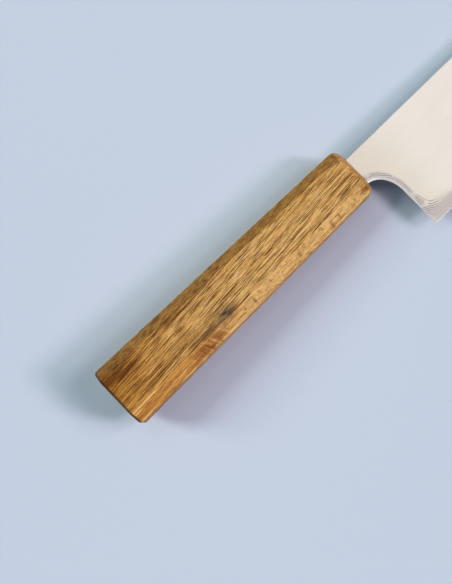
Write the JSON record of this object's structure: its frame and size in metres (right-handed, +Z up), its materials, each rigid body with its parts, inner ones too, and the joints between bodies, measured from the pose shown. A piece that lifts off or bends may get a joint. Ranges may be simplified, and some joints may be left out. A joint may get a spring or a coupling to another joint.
{
  "type": "bunka knife",
  "caption": "Japanese-style kitchen knife with a laminated clipped-tip blade, a short neck with a finger choil and a one-piece tapered octagonal wooden handle.",
  "frame": {"origin": "on the table, under the middle of the knife's box as it lies on its left side", "axes": "+X from the handle towards the tip, +Y from the cutting edge towards the spine, +Z up from the table"},
  "size_m": [0.3084, 0.051, 0.0244],
  "materials": {
    "core_steel": "satin grey core steel with a polished edge",
    "cladding_steel": "satin, with fine layer lines near the edge",
    "oak": "stained and oiled, open dark pores",
    "dowel_wood": "bare",
    "epoxy": "cured resin",
    "sealant": "matt dark bead"
  },
  "bodies": {
    "root": {"blade_core": "core_steel", "right_cladding": "cladding_steel", "left_cladding": "cladding_steel", "handle_body": "oak", "right_dowel_half": "dowel_wood", "left_dowel_half": "dowel_wood", "tang_epoxy": "epoxy", "neck_seal": "sealant"}
  },
  "joints": []
}
